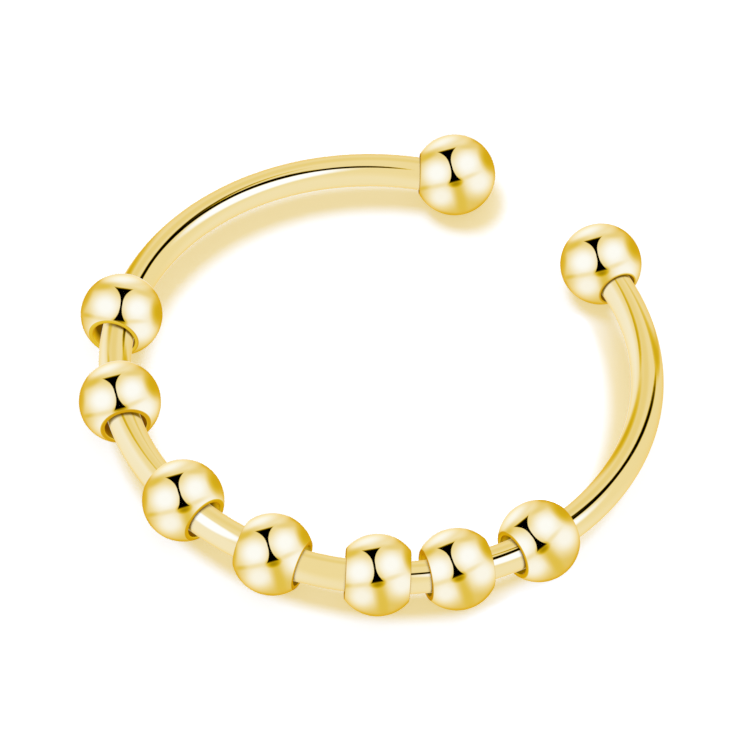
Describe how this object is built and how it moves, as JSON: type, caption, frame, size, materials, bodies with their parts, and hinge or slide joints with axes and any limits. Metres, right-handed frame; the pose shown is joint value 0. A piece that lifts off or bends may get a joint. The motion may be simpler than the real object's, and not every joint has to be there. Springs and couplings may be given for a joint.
{
  "type": "beaded ring",
  "caption": "Open adjustable finger ring of round polished wire with a ball fixed on each end and loose drilled round beads that slide along it.",
  "frame": {"origin": "centre of the finger hole, in the plane of the wire's centre line", "axes": "+Z along the finger, +Y towards the open side between the two end balls, +X to the right with the open side away"},
  "size_m": [0.0213, 0.0219, 0.003],
  "materials": {
    "gold": "mirror-polished yellow gold plating"
  },
  "bodies": {
    "band": {"band": "gold"},
    "bead_1": {"bead_1": "gold"},
    "bead_2": {"bead_2": "gold"},
    "bead_3": {"bead_3": "gold"},
    "bead_4": {"bead_4": "gold"},
    "bead_5": {"bead_5": "gold"},
    "bead_6": {"bead_6": "gold"},
    "bead_7": {"bead_7": "gold"}
  },
  "joints": [
    {"name": "bead_1_slide", "type": "hinge", "parent": "band", "child": "bead_1", "pos_m": [0, 0, 0], "axis": [0, 0, 1], "range_deg": [-76.9, 9.2]},
    {"name": "bead_2_slide", "type": "hinge", "parent": "band", "child": "bead_2", "pos_m": [0, 0, 0], "axis": [0, 0, 1], "range_deg": [-9.2, 15.1]},
    {"name": "bead_3_slide", "type": "hinge", "parent": "band", "child": "bead_3", "pos_m": [0, 0, 0], "axis": [0, 0, 1], "range_deg": [-15.1, 8.2]},
    {"name": "bead_4_slide", "type": "hinge", "parent": "band", "child": "bead_4", "pos_m": [0, 0, 0], "axis": [0, 0, 1], "range_deg": [-8.2, 7.3]},
    {"name": "bead_5_slide", "type": "hinge", "parent": "band", "child": "bead_5", "pos_m": [0, 0, 0], "axis": [0, 0, 1], "range_deg": [-7.3, 1.4]},
    {"name": "bead_6_slide", "type": "hinge", "parent": "band", "child": "bead_6", "pos_m": [0, 0, 0], "axis": [0, 0, 1], "range_deg": [-1.4, 4]},
    {"name": "bead_7_slide", "type": "hinge", "parent": "band", "child": "bead_7", "pos_m": [0, 0, 0], "axis": [0, 0, 1], "range_deg": [-4, 72.9]}
  ]
}
